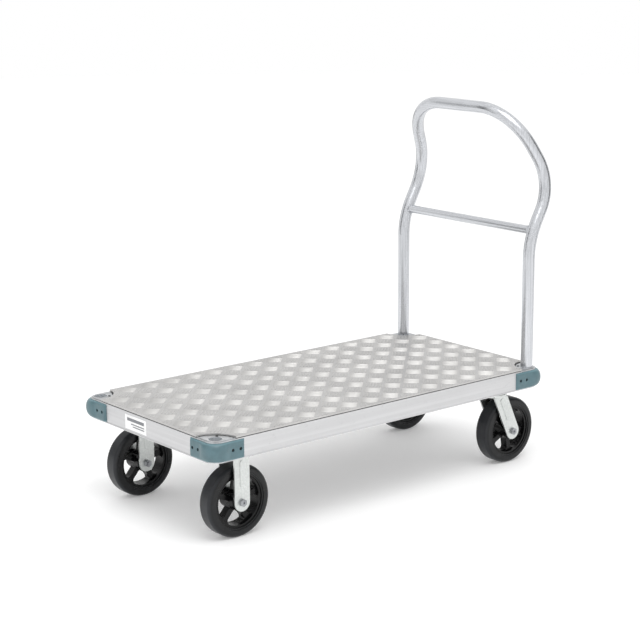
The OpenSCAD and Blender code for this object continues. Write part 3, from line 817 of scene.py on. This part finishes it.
def rubber_finish(colours, corner):
    """Moulded rubber round one axle: a tread painted lighter for dust and a painted sheen, cleaner
    walls and faint turned rings.
    """
    base = colours.rubber
    axle, radius = middle(f"tyre_{corner}"), wheel_radius(corner)
    finish = Finish(f"tyre_rubber_{corner}", specular_ior_level=0.34)
    x, y, z = finish.axes()
    reach = ((x - axle.x) ** 2 + (z - axle.z) ** 2) ** 0.5
    tread = reach.rise(radius - 9 * MM, radius - 1 * MM)
    dust_and_sheen = finish.noise(38, 5)
    rings = finish.node("ShaderNodeMath", {"operation": "SINE"}, {0: reach * RING_RATE})
    grain = finish.noise(1100, 2)
    wall = 1 - tread
    tint = finish.blend(dust_and_sheen.rise(0.35, 0.75), shade(base, 0.8), shade(base, 1.35))
    # Partly dust, partly painted sheen: the tread is painted up to five times lighter than the
    # walls, more where the noise is high, to stand for dust and for the grey sheen that light gives
    # the tread.
    tint = finish.blend(tread * (0.4 + dust_and_sheen * 0.6), tint, shade(base, 5.0))
    return finish.feed(
        base_color=tint,
        roughness=0.2 + dust_and_sheen * 0.2 + tread * 0.06,
        normal=finish.bump(grain * 0.7 + rings * wall * 0.15, 0.06 * MM, 0.6),
    )


def wheel_radius(corner):
    """Outer radius of a tyre."""
    low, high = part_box(f"tyre_{corner}")
    return (high.z - low.z) / 2


def iron_finish(colours):
    """Black paint over a sand casting."""
    base = colours.iron
    finish = Finish("wheel_iron", specular_ior_level=0.25)
    sand = finish.noise(380, 4)
    runs = finish.noise(40, 3)
    tint = finish.blend(runs.rise(0.4, 0.7), shade(base, 0.8), shade(base, 1.7))
    return finish.feed(
        base_color=tint,
        roughness=0.16 + runs * 0.2,
        normal=finish.bump(sand, 0.12 * MM, 0.5),
    )


def film_finish(colours):
    """White film, faintly creased."""
    base = colours.film
    finish = Finish("label_film")
    crease = finish.noise(30, 3)
    tint = finish.blend(crease.rise(0.45, 0.7), shade(base), shade(base, 0.93))
    return finish.feed(
        base_color=tint, roughness=0.3 + crease * 0.15, normal=finish.bump(crease, 0.1 * MM, 0.4)
    )


def ink_finish(colours):
    """Grey ink, a little uneven."""
    base = colours.ink
    finish = Finish("label_ink", roughness=0.5)
    patchy = finish.noise(400, 3)
    tint = finish.blend(patchy.rise(0.4, 0.7), shade(base), shade(base, 1.3))
    return finish.feed(base_color=tint)


class CART_OT_deck(bpy.types.Operator):
    """Finishes the deck plate"""

    bl_idname = "cart.deck"
    bl_label = "Deck plate"

    def execute(self, context):
        colours = context.scene.cart_colours
        paint(tread_finish("tread_plate", colours.plate, 0.34), "deck_plate")
        return {"FINISHED"}


class CART_OT_frame(bpy.types.Operator):
    """Finishes the rails, cross members, bolsters and corner castings"""

    bl_idname = "cart.frame"
    bl_label = "Frame"

    def execute(self, context):
        colours = context.scene.cart_colours
        rails = [f"side_rail_{s}" for s in SIDES] + [f"end_rail_{e}" for e in ENDS]
        members = [f"cross_member_{m}" for m in ("front", "middle", "rear")]
        bolsters = [f"caster_bolster_{e}" for e in ENDS]
        paint(channel_finish(colours), *rails, *members, *bolsters)
        tube_radius = context.scene.cart_details.tube_radius
        paint(casting_finish(colours, tube_radius), *[f"corner_{c}" for c in CORNERS])
        paint(screw_finish(colours), "corner_screws")
        return {"FINISHED"}


def add_bumper(made, size, height):
    """A bumper round the corner of its own frame, where both faces run along +X and +Y from 0.

    Its arms are flat with rounded edges, and round the corner it swells into a dome.
    """
    levels, arm_steps, arc_steps = 18, 12, 24
    square, round_off = 6, 3.6
    arm_dome, side_fall = 0.55, 0.45
    end_share, least = 0.2, 0.3 * MM
    heart = Vector((size.corner_round, size.corner_round, 0))
    path = []
    run = size.leg - size.corner_round
    for i in range(arm_steps):
        x = size.leg - run * i / arm_steps
        path.append((Vector((x, 0, 0)), Vector((0, -1, 0)), x - size.corner_round))
    for i in range(arc_steps + 1):
        angle = math.radians(-90 - 90 * i / arc_steps)
        out = Vector((math.cos(angle), math.sin(angle), 0))
        path.append((heart + out * size.corner_round, out, 0.0))
    arm = reversed(path[:arm_steps])
    path += [(Vector((p.y, p.x, 0)), Vector((n.y, n.x, 0)), d) for p, n, d in arm]
    rings = []
    half = height / 2
    for foot, out, beyond in path:
        # How much of the corner's dome this place has, and how far its end is bevelled
        along_arc = abs(abs(math.degrees(math.atan2(out.y, out.x))) - 135) / 45
        dome = 1 - smooth(beyond / size.dome_run)
        dome *= 1 - side_fall * smooth(along_arc) if beyond == 0 else arm_dome
        bevel = min(1.0, end_share + (run - beyond) / size.thick)
        power = square - round_off * dome
        ring = [foot, foot + Vector((0, 0, height))]
        for k in range(levels + 1):
            t = math.cos(math.pi * k / levels)
            rounding = (1 - abs(t) ** power) ** (1 / power) if abs(t) < 1 else 0
            swell = size.swell * dome * math.sqrt(max(0.0, 1 - t * t))
            reach = size.thick * bevel * rounding + swell
            ring.append(foot + out * max(reach, least) + Vector((0, 0, half + half * t)))
        rings.append(ring)
    add_loft(made, rings)


def smooth(t):
    """A smooth step from 0 to 1."""
    t = max(0.0, min(1.0, t))
    return t * t * (3 - 2 * t)


def drill(piece, cutter):
    """Cuts one mesh out of another for good, and throws the cutter away."""
    cut = piece.modifiers.new("drill", "BOOLEAN")
    cut.operation, cut.solver, cut.object = "DIFFERENCE", "EXACT", cutter
    graph = bpy.context.evaluated_depsgraph_get()
    mesh = bpy.data.meshes.new_from_object(piece.evaluated_get(graph))
    piece.modifiers.remove(cut)
    mesh.name = piece.name
    piece.data = mesh
    bpy.data.objects.remove(cutter)


class CART_OT_bumpers(bpy.types.Operator):
    """Replaces the corner bumpers by ones that swell into a dome round the corner"""

    bl_idname = "cart.bumpers"
    bl_label = "Bumpers"

    def execute(self, context):
        size = context.scene.cart_bumpers
        material = bumper_finish(context.scene.cart_colours)
        deck_low, deck_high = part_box("deck_plate")
        heads = loose_boxes("bumper_screws")
        for corner in CORNERS:
            end = 1 if corner.startswith("rear") else -1
            side = 1 if corner.endswith("right") else -1
            low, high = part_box(f"bumper_{corner}")
            apex = Vector((deck_high.x if end > 0 else deck_low.x,
                           deck_high.y if side > 0 else deck_low.y, low.z))
            made = bmesh.new()
            add_bumper(made, size, high.z - low.z)
            turn = Matrix.Diagonal((-end, -side, 1, 1))
            bmesh.ops.transform(made, matrix=Matrix.Translation(apex) @ turn, verts=made.verts)
            piece = add_piece(f"bumper_cover_{corner}", made, "frame", material)
            cutter = bmesh.new()
            for head_low, head_high in heads:
                centre = (head_low + head_high) / 2
                if (centre - apex).length > 2 * size.leg:
                    continue
                axis = max(range(3), key=lambda i: (head_high - head_low)[i])
                out = -end if axis == 0 else -side
                rim = head_low[axis] if out > 0 else head_high[axis]
                place = Vector(centre)
                place[axis] = rim + out * (size.head - size.thick)
                facing = Vector((0, 0, 0))
                facing[axis] = -out
                spin = facing.to_track_quat("Z", "Y").to_matrix().to_4x4()
                bmesh.ops.create_cone(
                    cutter, cap_ends=True, segments=40, radius1=size.recess, radius2=size.recess,
                    depth=2 * size.thick, matrix=Matrix.Translation(place) @ spin,
                )
            cutter_mesh = bpy.data.meshes.new("cutter")
            cutter.to_mesh(cutter_mesh)
            cutter.free()
            hole = bpy.data.objects.new("cutter", cutter_mesh)
            bpy.context.scene.collection.objects.link(hole)
            drill(piece, hole)
            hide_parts(f"bumper_{corner}")
        return {"FINISHED"}


class CART_OT_casters(bpy.types.Operator):
    """Finishes the forks, top plates, axles and swivels"""

    bl_idname = "cart.casters"
    bl_label = "Casters"

    def execute(self, context):
        colours = context.scene.cart_colours
        both = [f"{n}_{s}" for n in ("rigid_fork", "swivel_fork", "swivel_plate") for s in SIDES]
        paint(zinc_finish(colours), *both)
        turned = ("kingpin", "swivel_balls", "swivel_axle_bolt", "swivel_axle_nut", "swivel_bushing")
        steel = [f"{n}_{s}" for n in turned for s in SIDES]
        steel += ["rigid_axle_bolts", "rigid_axle_nuts", "rigid_bushings"]
        steel += ["caster_bolts", "caster_nuts"]
        paint(steel_finish(colours), *steel, *[f"wheel_bearing_{c}" for c in CORNERS])
        return {"FINISHED"}


def fillet_outline(half_spoke, wall, radius, inside):
    """The corner between a spoke's side and a round wall, filled to a hollow curve.

    X runs outwards along the spoke and Y across it. The wall is the rim seen from inside, or the
    hub seen from outside.
    """
    steps = 8
    overlap = 1 * MM
    reach = wall - radius if inside else wall + radius
    centre = Vector((math.sqrt(reach ** 2 - (half_spoke + radius) ** 2), half_spoke + radius))
    on_wall = centre.normalized() * wall
    sunk = overlap if inside else -overlap
    corner_x = math.sqrt(wall ** 2 - half_spoke ** 2) + sunk
    start = math.atan2(-1, 0)
    finish = math.atan2(on_wall.y - centre.y, on_wall.x - centre.x)
    if not inside:
        finish -= 2 * math.pi if finish > 0 else 0
    curve = []
    for i in range(steps + 1):
        angle = start + (finish - start) * i / steps
        curve.append(centre + Vector((math.cos(angle), math.sin(angle))) * radius)
    outward = on_wall.normalized() * (wall + sunk)
    return curve + [outward, Vector((corner_x, half_spoke - overlap)),
                    Vector((centre.x, half_spoke - overlap))]


class CART_OT_core_fillets(bpy.types.Operator):
    """Adds the cast fillets where each spoke meets its rim and hub"""

    bl_idname = "cart.core_fillets"
    bl_label = "Core fillets"

    def execute(self, context):
        size = context.scene.cart_wheels
        material = iron_finish(context.scene.cart_colours)
        outlines = (
            fillet_outline(size.spoke / 2, size.rim, size.rim_fillet, True),
            fillet_outline(size.spoke / 2, size.hub, size.hub_fillet, False),
        )
        for corner in CORNERS:
            axle = middle(f"tyre_{corner}")
            turn = size.front_turn if corner.startswith("front") else size.rear_turn
            made = bmesh.new()
            for spoke in range(size.spokes):
                angle = turn + 2 * math.pi * spoke / size.spokes
                ahead = Vector((math.cos(angle), 0, math.sin(angle)))
                aside = Vector((-math.sin(angle), 0, math.cos(angle)))
                for flip in (-1, 1):
                    for outline in outlines:
                        flat = [axle + ahead * x + aside * (flip * y) for x, y in outline]
                        add_loft(made, [
                            [p + Vector((0, level, 0)) for p in flat]
                            for level in (-size.depth / 2, size.depth / 2)
                        ])
            add_piece(f"core_fillets_{corner}", made, f"wheel_{corner}", material)
        return {"FINISHED"}


class CART_OT_wheels(bpy.types.Operator):
    """Finishes the tyres and the wheels' cores"""

    bl_idname = "cart.wheels"
    bl_label = "Wheels"

    def execute(self, context):
        colours = context.scene.cart_colours
        for corner in CORNERS:
            paint(rubber_finish(colours, corner), f"tyre_{corner}")
        paint(iron_finish(colours), *[f"wheel_core_{c}" for c in CORNERS])
        return {"FINISHED"}


class CART_OT_handle(bpy.types.Operator):
    """Finishes the push handle"""

    bl_idname = "cart.handle"
    bl_label = "Handle"

    def execute(self, context):
        paint(tube_finish(context.scene.cart_colours), "handle_tube", "handle_crossbar")
        return {"FINISHED"}


# ---- Studio ----


def add_floor(size):
    """A round pale floor, so wide that its edge is lost."""
    made = bmesh.new()
    bmesh.ops.create_circle(made, cap_ends=True, segments=96, radius=size.floor_radius)
    mesh = bpy.data.meshes.new("floor")
    made.to_mesh(mesh)
    made.free()
    finish = Finish("floor", roughness=0.9, emission_color=WHITE, emission_strength=size.floor_glow)
    base = (0.9, 0.9, 0.9)
    finish.feed(base_color=finish.blend(finish.noise(0.6, 2), shade(base), shade(base, 0.99)))
    mesh.materials.append(finish.material)
    floor = bpy.data.objects.new("floor", mesh)
    bpy.context.scene.collection.objects.link(floor)


def add_light(name, place, size, power, target=(0, 0, 0.4)):
    """A square soft light that faces a target."""
    data = bpy.data.lights.new(name, "AREA")
    data.shape = "RECTANGLE"
    data.size, data.size_y = size
    data.energy = power
    light = bpy.data.objects.new(name, data)
    light.location = place
    facing = Vector(target) - Vector(place)
    light.rotation_mode = "QUATERNION"
    light.rotation_quaternion = facing.to_track_quat("-Z", "Y")
    light.visible_camera = False
    bpy.context.scene.collection.objects.link(light)


def add_card(name, place, size, grey, target=(0, 0, 0.6)):
    """A grey upright card out of the camera's sight, for metal to reflect."""
    made = bmesh.new()
    bmesh.ops.create_grid(made, x_segments=1, y_segments=1, size=0.5)
    mesh = bpy.data.meshes.new(name)
    made.to_mesh(mesh)
    made.free()
    finish = Finish(name, roughness=1.0)
    base = (grey, grey, grey)
    finish.feed(base_color=finish.blend(finish.noise(2, 2), shade(base), shade(base, 1.2)))
    mesh.materials.append(finish.material)
    card = bpy.data.objects.new(name, mesh)
    card.location = place
    card.scale = (*size, 1)
    facing = Vector(target) - Vector(place)
    card.rotation_mode = "QUATERNION"
    card.rotation_quaternion = facing.to_track_quat("-Z", "Y")
    card.visible_camera = False
    card.visible_shadow = False
    card.visible_diffuse = False
    bpy.context.scene.collection.objects.link(card)


def add_camera(size):
    """A camera at a stated place, its own axes worked out from its backward direction."""
    back = Vector(size.back).normalized()
    right = Vector((0, 0, 1)).cross(back).normalized()
    up = back.cross(right)
    turn, lean = math.cos(size.roll), math.sin(size.roll)
    right, up = right * turn + up * lean, up * turn - right * lean
    data = bpy.data.cameras.new("camera")
    data.lens = size.lens / MM
    data.sensor_width = 36
    data.clip_end = 100
    camera = bpy.data.objects.new("camera", data)
    camera.matrix_world = Matrix.Translation(Vector(size.eye)) @ Matrix(
        (right, up, back)).transposed().to_4x4()
    bpy.context.scene.collection.objects.link(camera)
    bpy.context.scene.camera = camera


class CART_OT_studio(bpy.types.Operator):
    """Adds the floor, the soft lights and the camera"""

    bl_idname = "cart.studio"
    bl_label = "Studio"

    def execute(self, context):
        size = context.scene.cart_studio
        add_floor(size)
        add_light("key_light", (-0.8, -1.4, 3.6), (2.2, 2.2), size.key_power)
        add_card("back_card", (2.3, 2.9, 0.5), (5.0, 0.9), 0.4)
        add_card("right_card", (2.8, -1.6, 1.3), (1.7, 2.4), 0.08)
        add_card("left_card", (-2.0, 1.7, 1.3), (1.1, 2.2), 0.08)
        world = bpy.data.worlds.new("studio")
        world.use_nodes = True
        background = world.node_tree.nodes["Background"]
        background.inputs["Color"].default_value = WHITE
        background.inputs["Strength"].default_value = size.sky
        context.scene.world = world
        context.scene.view_settings.view_transform = "Standard"
        add_camera(size)
        return {"FINISHED"}


# ---- The add-on ----


class CART_PT_panel(bpy.types.Panel):
    """Lists the cart's sizes, colours and pieces"""

    bl_idname = "CART_PT_panel"
    bl_label = "Platform cart"
    bl_space_type = "VIEW_3D"
    bl_region_type = "UI"
    bl_category = "Cart"

    def draw(self, context):
        for title, group, _ in GROUPS:
            box = self.layout.box()
            box.label(text=title)
            values = getattr(context.scene, group)
            for name in values.bl_rna.properties.keys():
                if name not in ("rna_type", "name"):
                    box.prop(values, name)
        for operator in OPERATORS:
            self.layout.operator(operator.bl_idname)


GROUPS = (
    ("Tread", "cart_tread", CartTread),
    ("Details", "cart_details", CartDetails),
    ("Bumpers", "cart_bumpers", CartBumpers),
    ("Wheels", "cart_wheels", CartWheels),
    ("Colours", "cart_colours", CartColours),
    ("Studio", "cart_studio", CartStudio),
)
OPERATORS = (
    CART_OT_studio, CART_OT_deck, CART_OT_tread, CART_OT_frame, CART_OT_bumpers,
    CART_OT_screws, CART_OT_casters, CART_OT_wheels, CART_OT_core_fillets, CART_OT_handle,
    CART_OT_welds, CART_OT_label,
)


def register():
    """Registers the classes and hangs the property groups on the scene."""
    for _, name, group in GROUPS:
        bpy.utils.register_class(group)
        setattr(bpy.types.Scene, name, bpy.props.PointerProperty(type=group))
    for made in (*OPERATORS, CART_PT_panel):
        bpy.utils.register_class(made)


def unregister():
    """Takes back what register added."""
    for made in (CART_PT_panel, *reversed(OPERATORS)):
        bpy.utils.unregister_class(made)
    for _, name, group in reversed(GROUPS):
        delattr(bpy.types.Scene, name)
        bpy.utils.unregister_class(group)


def main():
    """Makes every piece in order."""
    register()
    for operator in OPERATORS:
        group, name = operator.bl_idname.split(".")
        getattr(getattr(bpy.ops, group), name)()


if __name__ == "__main__":
    main()
